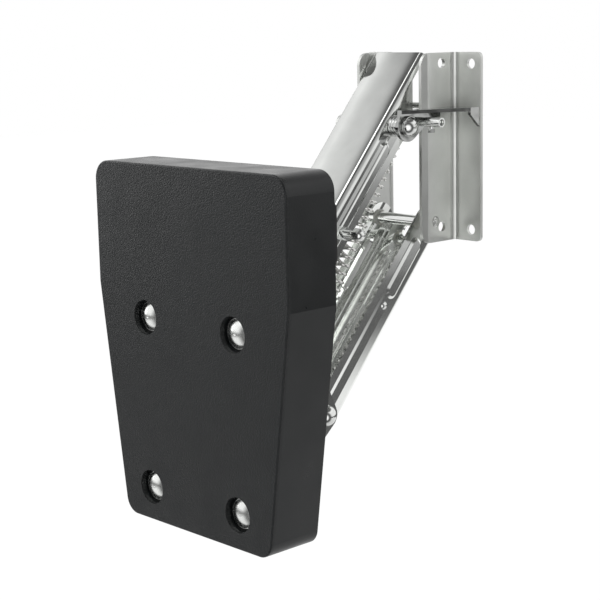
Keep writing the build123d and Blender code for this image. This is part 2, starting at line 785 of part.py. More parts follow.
for group in (
    lower_axle(),
    upper_pivot_fasteners(),
    carrier_fasteners(),
    board_fasteners(),
    clamp_pad(),
    cross_bolt(),
    lock_pin_parts(),
):
    parts.update(group)

os.makedirs("parts", exist_ok=True)
for node, shape in parts.items():
    placed = [Pos(-hole_centre_x, 0, 0) * solid for solid in shape.solids()]
    export_step(Compound(children=placed), "parts/" + node + ".step")
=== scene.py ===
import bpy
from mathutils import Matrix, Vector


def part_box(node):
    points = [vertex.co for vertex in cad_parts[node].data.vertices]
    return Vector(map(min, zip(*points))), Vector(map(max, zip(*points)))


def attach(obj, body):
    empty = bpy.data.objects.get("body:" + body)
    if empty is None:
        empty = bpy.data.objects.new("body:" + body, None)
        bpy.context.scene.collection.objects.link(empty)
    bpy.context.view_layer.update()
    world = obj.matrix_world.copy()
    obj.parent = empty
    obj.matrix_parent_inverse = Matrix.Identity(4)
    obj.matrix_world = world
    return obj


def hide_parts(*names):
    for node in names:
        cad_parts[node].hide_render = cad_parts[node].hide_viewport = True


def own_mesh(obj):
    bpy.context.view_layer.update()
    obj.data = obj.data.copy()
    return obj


bl_info = {
    "name": "Outboard Motor Bracket",
    "version": (1, 0, 0),
    "blender": (4, 5, 0),
    "location": "3D View > Sidebar > Bracket",
    "description": "Dresses a folding outboard motor bracket in steel, wire and plastic",
    "category": "Add Mesh",
}

from math import atan, cos, pi, radians, sin

import bpy
from bpy.props import FloatProperty, FloatVectorProperty, IntProperty, PointerProperty
from mathutils import Matrix, Vector

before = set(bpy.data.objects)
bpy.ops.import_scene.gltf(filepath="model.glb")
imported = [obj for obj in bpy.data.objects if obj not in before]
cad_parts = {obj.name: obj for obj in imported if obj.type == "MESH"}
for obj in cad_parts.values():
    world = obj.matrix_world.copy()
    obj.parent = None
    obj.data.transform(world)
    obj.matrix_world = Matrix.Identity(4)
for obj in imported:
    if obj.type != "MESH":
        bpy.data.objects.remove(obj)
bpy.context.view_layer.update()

# Shallow ridges along the arms' flanges: distance from the pivot line and height, in metres
UPPER_ARM_RIDGES = (
    (-0.017, 0), (-0.0095, 0), (-0.0024, 0.00013), (-0.0006, 0), (0.0003, 0),
    (0.0064, 0.0002), (0.0105, 0), (0.017, 0),
)
LOWER_ARM_RIDGES = (
    (-0.017, 0), (-0.007, 0.0009), (0.0013, 0.0006), (0.0045, 0.00095), (0.012, 0.0006),
    (0.017, 0.0006),
)

# Rolled edges of the transom angles' side flanges: place along Y and height, in metres
PLATE_ROLLS = (
    (-0.047, 0), (-0.0385, 0.0026), (-0.036, 0.0028), (-0.009, 0.0028), (-0.005, 0.0039),
    (0, 0.0039),
)

# Heights of the waves in the sheet steel, in metres, how close the ear's waves lie, and the
# depth of the polishing lines
ARM_WAVE = 0.00012
SHEET_WAVE = 0.0002
PLATE_WAVE = 0.00015
EAR_WAVE = 0.0005
EAR_WAVES = 70
POLISH_DEPTH = 0.000006

# The board's rounded edge, from where its front's grain fades to where the side begins, in
# metres, and the share of the grain that is left on the side
BOARD_EDGE_START = 0.0006
BOARD_EDGE_END = 0.004
BOARD_SIDE_GRAIN = 0.16

# Weld beads, in metres: how far a bead stands out, the room that its lumps have on its top and
# at its sides, and the width of a lump
WELD_HEIGHT = 0.0013
WELD_TOP_ROOM = 0.0003
WELD_SIDE_ROOM = 0.0004
WELD_LUMP = 0.0022

# Steps round a wire, a hook, its bend, a coil and a ring
WIRE_STEPS = 12
HOOK_STEPS = 16
BEND_STEPS = 6
COIL_STEPS = 24
RING_STEPS = 64

# Points nearer than this are one point, in metres
MERGE_DISTANCE = 0.00001

# Steepest edges that are still shaded smooth
RING_EDGE = radians(35)
ROUND_EDGE = radians(50)

# Lamps: places and widths in metres, and the point that they face
KEY_PLACE = (-0.5, -1.1, 1.3)
KEY_WIDTH = 1.1
FILL_PLACE = (-1.4, -0.5, 0.2)
FILL_WIDTH = 0.9
LAMP_TARGET = (0, -0.15, -0.1)

# Light of the floor as the camera sees it, the share of it that no shadow dims, and the
# backdrop's light on matt surfaces
FLOOR_GLOW = 1.09
FLOOR_GLOW_SHARE = 0.9
BACKDROP_LIGHT = 0.34

# The studio that polished steel mirrors: height, from straight down (0) to straight up (1),
# and light
STUDIO_BANDS = (
    (0.0, 0.8), (0.3, 1.0), (0.345, 0.95), (0.365, 0.11), (0.44, 0.12), (0.465, 1.15),
    (0.7, 1.05), (0.8, 1.2), (0.835, 0.98), (0.855, 0.78), (0.868, 0.5), (0.88, 0.13),
    (0.97, 0.15), (1.0, 0.5),
)

# Soft panel that the steel mirrors too: its direction, and for its dark surround and then the
# panel itself the cosine at which it starts, the cosine at which it is full, and its light
PANEL_DIRECTION = (0.67, -0.72, -0.18)
PANELS = ((0.3, 0.6, 0.12), (0.78, 0.95, 1.5))


# Settings


class SteelSettings(bpy.types.PropertyGroup):
    """Colours and gloss of the bracket's metal."""

    sheet_color: FloatVectorProperty(
        name="Sheet", description="Colour of the mirror-polished arms", subtype="COLOR",
        size=3, min=0, max=1, default=(0.66, 0.67, 0.655),
    )
    sheet_roughness: FloatProperty(
        name="Sheet roughness", description="Blur of the arms' reflections",
        min=0, max=1, default=0.1,
    )
    crown: FloatProperty(
        name="Crown", description="Roll of the arms' webs near their edges, in 1/m3",
        default=2200,
    )
    plate_color: FloatVectorProperty(
        name="Plate", description="Colour of the satin transom angles", subtype="COLOR",
        size=3, min=0, max=1, default=(0.63, 0.64, 0.62),
    )
    plate_roughness: FloatProperty(
        name="Plate roughness", description="Blur of the transom angles' reflections",
        min=0, max=1, default=0.36,
    )
    fastener_color: FloatVectorProperty(
        name="Fasteners", description="Colour of the bolts, nuts, washers and rods",
        subtype="COLOR", size=3, min=0, max=1, default=(0.72, 0.73, 0.715),
    )
    fastener_roughness: FloatProperty(
        name="Fastener roughness", description="Blur of the fasteners' reflections",
        min=0, max=1, default=0.14,
    )
    wire_color: FloatVectorProperty(
        name="Spring wire", description="Colour of the spring wire", subtype="COLOR",
        size=3, min=0, max=1, default=(0.76, 0.76, 0.74),
    )


class ArmSettings(bpy.types.PropertyGroup):
    """Places of the two arms."""

    slope: FloatProperty(
        name="Slope", description="Angle of the arms below the horizontal", subtype="ANGLE",
        default=radians(48.9),
    )
    upper_pivot: FloatVectorProperty(
        name="Upper pivot", description="Point on the upper arm's pivot",
        subtype="TRANSLATION", unit="LENGTH", size=3, default=(0, -0.0665, 0.0215),
    )
    lower_pivot: FloatVectorProperty(
        name="Lower pivot", description="Point on the lower arm's pivot",
        subtype="TRANSLATION", unit="LENGTH", size=3, default=(0, -0.0275, -0.0655),
    )


class FittingSettings(bpy.types.PropertyGroup):
    """Rings on the upper pivot and welds on the lower axle."""

    bore: FloatProperty(
        name="Bore", description="Radius of the hole in the rings", unit="LENGTH",
        default=0.0051,
    )
    rounding: FloatProperty(
        name="Rounding", description="Radius of the rings' edges", unit="LENGTH",
        default=0.0005,
    )
    weld_roughness: FloatProperty(
        name="Weld roughness", description="Height of the lumps on the weld beads",
        unit="LENGTH", default=0.0007,
    )


class SpringSettings(bpy.types.PropertyGroup):
    """Sizes of the two extension springs and of the lock pin's spring."""

    anchor: FloatVectorProperty(
        name="Upper anchor", description="Middle of the upper hooks' rod",
        subtype="TRANSLATION", unit="LENGTH", size=3, default=(-0.004125, -0.0289, 0.037),
    )
    far_anchor: FloatVectorProperty(
        name="Lower anchor", description="Middle of the lower hooks' rod",
        subtype="TRANSLATION", unit="LENGTH", size=3, default=(-0.004125, -0.1726, -0.18583),
    )
    apart: FloatProperty(
        name="Offset", description="Distance of each spring from the middle",
        unit="LENGTH", default=0.011,
    )
    coil_radius: FloatProperty(
        name="Coil radius", description="Radius of the coil at the wire's centre",
        unit="LENGTH", default=0.0062,
    )
    wire_radius: FloatProperty(
        name="Wire radius", description="Radius of the round wire", unit="LENGTH",
        default=0.0015,
    )
    hook_radius: FloatProperty(
        name="Hook radius", description="Radius of the hooks at the wire's centre",
        unit="LENGTH", default=0.0052,
    )
    hook_reach: FloatProperty(
        name="Hook reach", description="Distance from an anchor to the first coil",
        unit="LENGTH", default=0.013,
    )
    turns: IntProperty(name="Turns", description="Coils in each spring", default=31)
    raised_share: FloatProperty(
        name="Raised length", description="Length when raised, as a share of the lowered one",
        min=0.5, max=1, default=0.932,
    )
    lock_wire_radius: FloatProperty(
        name="Lock wire", description="Radius of the lock pin spring's wire", unit="LENGTH",
        default=0.00035,
    )
    lock_turns: IntProperty(
        name="Lock turns", description="Coils in the lock pin's spring", default=4,
    )
    lock_pulled_share: FloatProperty(
        name="Pulled length", description="The lock pin spring's length when the pin is "
        "pulled out, as a share of its length at rest", min=0.1, max=1, default=0.303,
    )


class PlasticSettings(bpy.types.PropertyGroup):
    """Colours and grain of the motor board, the clamp pad and the bushes."""

    board_color: FloatVectorProperty(
        name="Board", description="Colour of the board's plastic", subtype="COLOR",
        size=3, min=0, max=1, default=(0.0130, 0.0148, 0.0156),
    )
    grain_size: FloatProperty(
        name="Grain", description="Width of one pebble of the leather-like grain",
        unit="LENGTH", default=0.0011,
    )
    grain_depth: FloatProperty(
        name="Grain depth", description="Depth of the grain", unit="LENGTH", default=0.00024,
    )
    pad_color: FloatVectorProperty(
        name="Pad", description="Colour of the clamp pad", subtype="COLOR",
        size=3, min=0, max=1, default=(0.012, 0.012, 0.012),
    )
    nylon_color: FloatVectorProperty(
        name="Nylon", description="Colour of the bushes and spacers", subtype="COLOR",
        size=3, min=0, max=1, default=(0.72, 0.72, 0.68),
    )


class StageSettings(bpy.types.PropertyGroup):
    """Floor, lamps and camera."""

    floor_height: FloatProperty(
        name="Floor", description="Height of the floor", unit="LENGTH", default=-0.62,
    )
    camera_place: FloatVectorProperty(
        name="Camera", description="Place of the camera", subtype="TRANSLATION",
        unit="LENGTH", size=3, default=(0.910935, -1.0161, 0.10927),
    )
    camera_azimuth: FloatProperty(
        name="Azimuth", description="Camera's turn about the vertical", unit="ROTATION",
        default=radians(46.73),
    )
    camera_elevation: FloatProperty(
        name="Elevation", description="Camera's downward tilt", unit="ROTATION",
        default=radians(10.41),
    )
    camera_roll: FloatProperty(
        name="Roll", description="Camera's turn about its own view line", unit="ROTATION",
        default=radians(-1.21),
    )
    lens: FloatProperty(
        name="Lens", description="Focal length on a 36 mm sensor", default=90.12,
    )
    key_power: FloatProperty(
        name="Key lamp", description="Power of the large lamp above", unit="POWER",
        default=9,
    )
    fill_power: FloatProperty(
        name="Fill lamp", description="Power of the lamp on the left", unit="POWER",
        default=4,
    )


class BracketSettings(bpy.types.PropertyGroup):
    """All settings of the bracket."""

    steel: PointerProperty(type=SteelSettings)
    arm: PointerProperty(type=ArmSettings)
    fitting: PointerProperty(type=FittingSettings)
    spring: PointerProperty(type=SpringSettings)
    plastic: PointerProperty(type=PlasticSettings)
    stage: PointerProperty(type=StageSettings)


# Materials


def new_material(name, color, metallic, roughness):
    """A principled material and its shader."""
    material = bpy.data.materials.new(name)
    material.use_nodes = True
    shader = material.node_tree.nodes["Principled BSDF"]
    shader.inputs["Base Color"].default_value = (*color, 1)
    shader.inputs["Metallic"].default_value = metallic
    shader.inputs["Roughness"].default_value = roughness
    return material, shader


def object_noise(material, scale, detail=3, stretch=(1, 1, 1), turn=(0, 0, 0)):
    """Noise on Object coordinates, finer along an axis the more that axis is stretched."""
    nodes, links = material.node_tree.nodes, material.node_tree.links
    place = nodes.new("ShaderNodeTexCoord")
    mapping = nodes.new("ShaderNodeMapping")
    mapping.inputs["Rotation"].default_value = turn
    mapping.inputs["Scale"].default_value = stretch
    noise = nodes.new("ShaderNodeTexNoise")
    noise.inputs["Scale"].default_value = scale
    noise.inputs["Detail"].default_value = detail
    links.new(place.outputs["Object"], mapping.inputs["Vector"])
    links.new(mapping.outputs["Vector"], noise.inputs["Vector"])
    return noise.outputs["Fac"]


def ranged(material, value, low, high, start=0.3, end=0.7):
    """Spreads a noise over a range of values."""
    nodes, links = material.node_tree.nodes, material.node_tree.links
    spread = nodes.new("ShaderNodeMapRange")
    spread.inputs["From Min"].default_value = start
    spread.inputs["From Max"].default_value = end
    spread.inputs["To Min"].default_value = low
    spread.inputs["To Max"].default_value = high
    links.new(value, spread.inputs["Value"])
    return spread.outputs["Result"]


def tinted(material, value, dark, light):
    """A colour between two by a value from 0 to 1."""
    nodes, links = material.node_tree.nodes, material.node_tree.links
    mix = nodes.new("ShaderNodeMix")
    mix.data_type = "RGBA"
    mix.inputs["A"].default_value = (*dark, 1)
    mix.inputs["B"].default_value = (*light, 1)
    links.new(value, mix.inputs["Factor"])
    return mix.outputs["Result"]


def multiplied(material, first, second):
    """The product of two values."""
    nodes, links = material.node_tree.nodes, material.node_tree.links
    product = nodes.new("ShaderNodeMath")
    product.operation = "MULTIPLY"
    links.new(first, product.inputs[0])
    links.new(second, product.inputs[1])
    return product.outputs["Value"]


def bumped(material, shader, value, depth, normal=None):
    """Raises the surface by a value, in metres."""
    nodes, links = material.node_tree.nodes, material.node_tree.links
    bump = nodes.new("ShaderNodeBump")
    bump.inputs["Distance"].default_value = depth
    links.new(value, bump.inputs["Height"])
    if normal:
        links.new(normal, bump.inputs["Normal"])
    links.new(bump.outputs["Normal"], shader.inputs["Normal"])
    return bump.outputs["Normal"]


def shade(color, share):
    """The colour at a share of its brightness."""
    return tuple(channel * share for channel in color)


def steel_material(name, color, roughness, wave=0.0, brush=None, waves=14):
    """Polished stainless steel: faint colour and gloss changes, a slightly wavy face, and
    fine polishing lines along an axis where brush gives its direction's stretch and turn."""
    material, shader = new_material(name, color, 1, roughness)
    links = material.node_tree.links
    cloud = object_noise(material, scale=30, detail=5)
    links.new(
        tinted(material, ranged(material, cloud, 0, 1), shade(color, 0.9), shade(color, 1.05)),
        shader.inputs["Base Color"],
    )
    smear = object_noise(material, 60, 5, *(brush or ((1, 1, 1), (0, 0, 0))))
    links.new(
        ranged(material, smear, roughness * 0.8, roughness * 1.25), shader.inputs["Roughness"]
    )
    normal = bumped(material, shader, smear, POLISH_DEPTH)
    if wave:
        normal = bumped(material, shader, object_noise(material, waves, 1), wave, normal)
    return material, shader, normal


def folded(material, shader, normal, place, folds):
    """Raises the surface by a profile of straight runs along a distance, in metres."""
    nodes, links = material.node_tree.nodes, material.node_tree.links
    start, end = folds[0][0], folds[-1][0]
    ramp = nodes.new("ShaderNodeValToRGB")
    stops = ramp.color_ramp.elements
    while len(stops) < len(folds):
        stops.new(0.5)
    top = max(height for _, height in folds)
    for stop, (distance, height) in zip(stops, folds):
        stop.position = (distance - start) / (end - start)
        stop.color = (height / top, height / top, height / top, 1)
    links.new(ranged(material, place, 0, 1, start, end), ramp.inputs["Fac"])
    return bumped(material, shader, ramp.outputs["Color"], top, normal)


def along_axis(material, axis):
    """Distance of a point from the origin along an axis, on Object coordinates."""
    nodes, links = material.node_tree.nodes, material.node_tree.links
    place = nodes.new("ShaderNodeTexCoord")
    along = nodes.new("ShaderNodeVectorMath")
    along.operation = "DOT_PRODUCT"
    along.inputs[1].default_value = axis
    links.new(place.outputs["Object"], along.inputs[0])
    return along.outputs["Value"]


def arm_material(name, color, steel, slope, pivot, ridges):
    """Mirror-polished channel whose web is crowned and whose flanges have shallow rolled
    ridges, each given by its distance from the pivot line and its height."""
    material, shader, normal = steel_material(
        name, color, steel.sheet_roughness, ARM_WAVE, ((1, 0.08, 1), (slope, 0, 0)),
    )
    across = Vector((0, -sin(slope), cos(slope)))
    middle = across.dot(pivot)
    ridges = [(middle + distance, height) for distance, height in ridges]
    normal = folded(material, shader, normal, along_axis(material, across), ridges)
    side = along_axis(material, (1, 0, 0))
    square = multiplied(material, side, side)
    fourth = multiplied(material, square, square)
    bumped(material, shader, fourth, -steel.crown, normal)
    return material


def board_material(settings):
    """Black plastic with a leather-like grain on the front and a smoother satin side."""
    color = settings.board_color
    material, shader = new_material("board_plastic", color, metallic=0, roughness=0.42)
    nodes, links = material.node_tree.nodes, material.node_tree.links
    cloud = object_noise(material, scale=9, detail=4)
    spread = ranged(material, cloud, 0, 1)
    links.new(
        tinted(material, spread, shade(color, 0.86), shade(color, 1.12)),
        shader.inputs["Base Color"],
    )
    place = nodes.new("ShaderNodeTexCoord")
    split = nodes.new("ShaderNodeSeparateXYZ")
    links.new(place.outputs["Object"], split.inputs["Vector"])
    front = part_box("motor_board")[0][1]
    face = ranged(
        material, split.outputs["Y"], 1, BOARD_SIDE_GRAIN,
        front + BOARD_EDGE_START, front + BOARD_EDGE_END,
    )
    grain = nodes.new("ShaderNodeTexVoronoi")
    grain.feature = "SMOOTH_F1"
    grain.inputs["Scale"].default_value = 1 / settings.grain_size
    grain.inputs["Smoothness"].default_value = 0.6
    links.new(place.outputs["Object"], grain.inputs["Vector"])
    pebble = multiplied(material, grain.outputs["Distance"], face)
    normal = bumped(material, shader, pebble, -settings.grain_depth)
    swell = object_noise(material, scale=7, detail=2)
    bumped(material, shader, swell, depth=0.0006, normal=normal)
    smear = object_noise(material, scale=35, detail=5)
    gloss = multiplied(
        material,
        ranged(material, smear, low=0.36, high=0.52),
        ranged(material, face, low=0.75, high=1, start=BOARD_SIDE_GRAIN, end=1),
    )
    links.new(gloss, shader.inputs["Roughness"])
    shader.inputs["Specular IOR Level"].default_value = 0.36
    return material


def rubber_material(name, color):
    """Matt rubber with a fine speckle."""
    material, shader = new_material(name, color, metallic=0, roughness=0.62)
    links = material.node_tree.links
    speckle = object_noise(material, scale=1800, detail=2)
    spread = ranged(material, speckle, 0, 1)
    links.new(
        tinted(material, spread, shade(color, 0.8), shade(color, 1.3)),
        shader.inputs["Base Color"],
    )
    bumped(material, shader, speckle, depth=0.00006)
    return material


def nylon_material(settings):
    """Off-white nylon, waxy and slightly mottled."""
    color = settings.nylon_color
    material, shader = new_material("nylon", color, metallic=0, roughness=0.38)
    links = material.node_tree.links
    mottle = object_noise(material, scale=150, detail=3)
    spread = ranged(material, mottle, 0, 1)
    links.new(
        tinted(material, spread, shade(color, 0.94), shade(color, 1.03)),
        shader.inputs["Base Color"],
    )
    shader.inputs["Subsurface Weight"].default_value = 0.15
    shader.inputs["Subsurface Radius"].default_value = (0.002, 0.002, 0.0015)
    return material


def dress(material, *nodes):
    """Gives CAD nodes a material."""
    for name in nodes:
        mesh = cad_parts[name].data
        mesh.materials.clear()
        mesh.materials.append(material)


# Modelling


def deselect():
    """Leaves nothing selected, so that an operator acts on the new piece alone."""
    bpy.ops.object.select_all(action="DESELECT")


def select_only(*pieces):
    """Selects the pieces and makes the first one active."""
    deselect()
    for piece in pieces:
        piece.select_set(True)
    bpy.context.view_layer.objects.active = pieces[0]


def apply_place(piece):
    """Moves a piece's place, turn and scale into its mesh."""
    select_only(piece)
    bpy.ops.object.transform_apply(location=True, rotation=True, scale=True)


def finish_piece(piece, name, material, body):
    """Names, dresses and mounts a finished piece."""
    piece.name = name
    piece.data.name = name
    piece.data.materials.clear()
    piece.data.materials.append(material)
    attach(piece, body)


def edit_all(piece):
    """Enters edit mode with the whole mesh selected."""
    select_only(piece)
    bpy.ops.object.mode_set(mode="EDIT")
    bpy.ops.mesh.select_mode(type="VERT")
    bpy.ops.mesh.select_all(action="SELECT")


def close_mesh():
    """Joins doubled points, turns the faces outward and leaves edit mode."""
    bpy.ops.mesh.select_all(action="SELECT")
    bpy.ops.mesh.remove_doubles(threshold=MERGE_DISTANCE)
    bpy.ops.mesh.normals_make_consistent(inside=False)
    bpy.ops.object.mode_set(mode="OBJECT")


def model_hook(spring):
    """Round-wire hook about the origin, whose leg runs to the first coil and bends into it."""
    bend = 2 * spring.wire_radius
    deselect()
    bpy.ops.mesh.primitive_circle_add(
        vertices=WIRE_STEPS, radius=spring.wire_radius, fill_type="NGON",
        location=(-spring.hook_radius, 0, 0),
    )
    hook = bpy.context.active_object
    apply_place(hook)
    edit_all(hook)
    bpy.ops.mesh.extrude_region_move(TRANSFORM_OT_translate={"value": (0, 0, 0)})
    bpy.ops.mesh.spin(
        steps=HOOK_STEPS, angle=-pi, center=(0, 0, 0), axis=(0, 1, 0), use_auto_merge=False
    )
    bpy.ops.mesh.extrude_region_move(
        TRANSFORM_OT_translate={
            "value": (
                spring.coil_radius - spring.hook_radius,
                0,
                spring.hook_reach - bend,
            )
        }
    )
    bpy.ops.mesh.spin(
        steps=BEND_STEPS, angle=-pi / 2, axis=(1, 0, 0), use_auto_merge=False,
        center=(spring.coil_radius, bend, spring.hook_reach - bend),
    )
    close_mesh()
    return hook


def model_coil(radius, wire_radius, turns, start, length):
    """Round-wire coil along Z."""
    pitch = length / turns
    lean = atan(pitch / (2 * pi * radius))
    deselect()
    bpy.ops.mesh.primitive_circle_add(
        vertices=WIRE_STEPS, radius=wire_radius, fill_type="NOTHING",
        location=(radius, 0, start), rotation=(pi / 2 + lean, 0, 0),
    )
    coil = bpy.context.active_object
    apply_place(coil)
    screw = coil.modifiers.new("coil", "SCREW")
    screw.axis = "Z"
    screw.angle = 2 * pi
    screw.screw_offset = pitch
    screw.iterations = turns
    screw.steps = screw.render_steps = COIL_STEPS
    bpy.ops.object.modifier_apply(modifier=screw.name)
    edit_all(coil)
    close_mesh()
    return coil


def model_spring(spring):
    """One extension spring along Z, from the upper anchor at the origin."""
    length = (Vector(spring.far_anchor) - Vector(spring.anchor)).length
    hook = model_hook(spring)
    far_hook = hook.copy()
    far_hook.data = hook.data.copy()
    bpy.context.collection.objects.link(far_hook)
    far_hook.matrix_world = Matrix.Translation((0, 0, length)) @ Matrix.Rotation(pi, 4, "X")
    apply_place(far_hook)
    wire = model_coil(
        spring.coil_radius, spring.wire_radius, spring.turns, spring.hook_reach,
        length - 2 * spring.hook_reach,
    )
    select_only(wire, hook, far_hook)
    bpy.ops.object.join()
    bpy.ops.object.shade_smooth()
    return wire


def model_lock_spring(spring):
    """Small return spring along X round the lock pin."""
    low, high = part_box("lock_pin_spring")
    wire = spring.lock_wire_radius
    coil = model_coil(
        (high.z - low.z) / 2 - wire, wire, spring.lock_turns, wire, high.x - low.x - 2 * wire
    )
    edit_all(coil)
    bpy.ops.mesh.fill_holes(sides=0)
    close_mesh()
    coil.matrix_world = Matrix.Translation(
        (low.x, (low.y + high.y) / 2, (low.z + high.z) / 2)
    ) @ Matrix.Rotation(pi / 2, 4, "Y")
    apply_place(coil)
    select_only(coil)
    bpy.ops.object.shade_smooth_by_angle(angle=ROUND_EDGE)
    return coil


def model_rings(name, node, count, fitting, pivot, material):
    """Rings along X with rounded edges, in the place of a CAD node's plain ones."""
    low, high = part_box(node)
    outer = (high.z - low.z) / 2
    width = (high.x - low.x) / count
    rings = []
    for number in range(count):
        deselect()
        bpy.ops.mesh.primitive_plane_add(
            size=1, rotation=(pi / 2, 0, 0),
            location=(low.x + (number + 0.5) * width, 0, (fitting.bore + outer) / 2),
        )
        ring = bpy.context.active_object
        ring.scale = (width, outer - fitting.bore, 1)
        apply_place(ring)
        edit_all(ring)
        bpy.ops.mesh.bevel(offset=fitting.rounding, segments=4, affect="VERTICES")
        bpy.ops.mesh.delete(type="ONLY_FACE")
        bpy.ops.mesh.select_all(action="SELECT")
        bpy.ops.mesh.spin(
            steps=RING_STEPS, angle=2 * pi, center=(0, 0, 0), axis=(1, 0, 0),
            use_auto_merge=False,
        )
        close_mesh()
        ring.location = (0, pivot.y, pivot.z)
        apply_place(ring)
        rings.append(ring)
    select_only(*rings)
    bpy.ops.object.join()
    bpy.ops.object.shade_smooth_by_angle(angle=RING_EDGE)
    finish_piece(rings[0], name, material, "transom")
    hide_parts(node)


def model_weld(side, fitting):
    """Lumpy weld bead on the outer face of the transom angle on one side, 1 or -1."""
    low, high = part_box("axle_welds")
    face = high.x - WELD_HEIGHT
    radius_y, radius_z = (high.y - low.y) / 2, (high.z - low.z) / 2
    deselect()
    bpy.ops.mesh.primitive_ico_sphere_add(
        subdivisions=5, radius=1, location=(0, (low.y + high.y) / 2, (low.z + high.z) / 2)
    )
    bead = bpy.context.active_object
    bead.scale = (WELD_HEIGHT - WELD_TOP_ROOM, radius_y - WELD_SIDE_ROOM, radius_z)
    bead.location.x = face
    apply_place(bead)
    lumps = bpy.data.textures.new("weld_lumps", "CLOUDS")
    lumps.noise_scale = WELD_LUMP
    lumps.noise_depth = 1
    swell = bead.modifiers.new("swell", "DISPLACE")
    swell.texture = lumps
    swell.texture_coords = "LOCAL"
    swell.strength = fitting.weld_roughness
    select_only(bead)
    bpy.ops.object.modifier_apply(modifier=swell.name)
    edit_all(bead)
    bpy.ops.mesh.bisect(
        plane_co=(face, 0, 0), plane_no=(1, 0, 0), use_fill=True, clear_inner=True
    )
    bpy.ops.object.mode_set(mode="OBJECT")
    if side < 0:
        bead.scale.x = -1
        apply_place(bead)
    edit_all(bead)
    close_mesh()
    return bead


# Operators


class BRACKET_OT_finish_steel(bpy.types.Operator):
    """Polish the sheet steel, the rods and the fasteners"""

    bl_idname = "bracket.finish_steel"
    bl_label = "Finish Steel"

    def execute(self, context):
        steel = context.scene.bracket.steel
        arm = context.scene.bracket.arm
        dress(
            arm_material(
                "upper_arm_steel", steel.sheet_color, steel, arm.slope,
                Vector(arm.upper_pivot), UPPER_ARM_RIDGES,
            ),
            "upper_arm_channel",
        )
        # Painted light: the lower arm is the same polished steel as the upper one, with its
        # colour raised to 1.35 times so that it renders brighter
        dress(
            arm_material(
                "lower_arm_lit_steel", shade(steel.sheet_color, 1.35), steel, arm.slope,
                Vector(arm.lower_pivot), LOWER_ARM_RIDGES,
            ),
            "lower_arm_channel",
        )
        dress(
            steel_material(
                "polished_sheet", steel.sheet_color, steel.sheet_roughness, SHEET_WAVE
            )[0],
            "carrier_angle_right", "carrier_angle_left",
        )
        # Painted shade: the ear bracket's steel is the sheet colour at 0.55, darkened to stand
        # in for the dark reflections on its polished faces
        dress(
            steel_material(
                "ear_shaded_steel", shade(steel.sheet_color, 0.55), 0.1, EAR_WAVE, waves=EAR_WAVES
            )[0],
            "ear_bracket",
        )
        plate = steel_material(
            "stainless_plate", steel.plate_color, steel.plate_roughness, PLATE_WAVE,
            ((1, 1, 0.3), (0, 0, 0)),
        )
        folded(*plate, along_axis(plate[0], (0, 1, 0)), PLATE_ROLLS)
        dress(plate[0], "transom_angle_right", "transom_angle_left")
        dress(
            steel_material("bright_steel", steel.fastener_color, steel.fastener_roughness)[0],
            "upper_pivot_bolt_right", "upper_pivot_bolt_left",
            "upper_pivot_nuts", "upper_pivot_spacer_left", "upper_spring_anchor", "lower_axle",
            "lock_pin_guide", "cross_bolt", "cross_bolt_nut", "cross_bolt_cap_nut",
            "lower_arm_rivets", "clamp_pad_screws", "carriage_bolt_washers",
            "carriage_bolt_nuts", "upper_carrier_bolt", "upper_carrier_nut",
            "lower_carrier_bolt", "lower_carrier_nut", "carrier_bolt_washers",
            "lower_spring_anchor", "lock_pin", "lock_pin_sleeve", "lock_pin_set_screw",
            "lock_pin_clip",
        )
        # Painted highlight: the carriage bolts' steel is the fastener colour at 1.2, a lit
        # copy that brightens their domed heads
        dress(
            steel_material("bolt_lit_steel", shade(steel.fastener_color, 1.2), 0.24)[0],
            "carriage_bolts",
        )
        return {"FINISHED"}


class BRACKET_OT_add_fittings(bpy.types.Operator):
    """Add the rounded spacer rings and washers and the lumpy weld beads"""

    bl_idname = "bracket.add_fittings"
    bl_label = "Add Fittings"

    def execute(self, context):
        steel = context.scene.bracket.steel
        fitting = context.scene.bracket.fitting
        pivot = Vector(context.scene.bracket.arm.upper_pivot)
        # Painted shade: the rings' steel is the fastener colour at 0.7, darkened to stand in
        # for the dark reflections along their sides
        material = steel_material("ring_steel", shade(steel.fastener_color, 0.7), 0.14)[0]
        model_rings(
            "pivot_rings", "upper_pivot_spacers_right", 4, fitting, pivot, material
        )
        model_rings("head_rings", "upper_pivot_washers", 2, fitting, pivot, material)
        beads = [model_weld(side, fitting) for side in (1, -1)]
        select_only(*beads)
        bpy.ops.object.join()
        bpy.ops.object.shade_smooth_by_angle(angle=ROUND_EDGE)
        weld_steel = steel_material("weld_steel", shade(steel.plate_color, 0.9), 0.24)[0]
        finish_piece(beads[0], "weld_beads", weld_steel, "transom")
        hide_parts("axle_welds")
        return {"FINISHED"}


class BRACKET_OT_finish_plastic(bpy.types.Operator):
    """Grain the board and finish the pad, the bushes and the spacers"""

    bl_idname = "bracket.finish_plastic"
    bl_label = "Finish Plastic"

    def execute(self, context):
        plastic = context.scene.bracket.plastic
        dress(board_material(plastic), "motor_board")
        dress(rubber_material("pad_rubber", plastic.pad_color), "clamp_pad")
        dress(
            nylon_material(plastic),
            "axle_spacer_right", "axle_spacer_left", "upper_arm_bushes", "lower_arm_bushes",
            "carrier_spacers", "spring_spacer",
        )
        return {"FINISHED"}


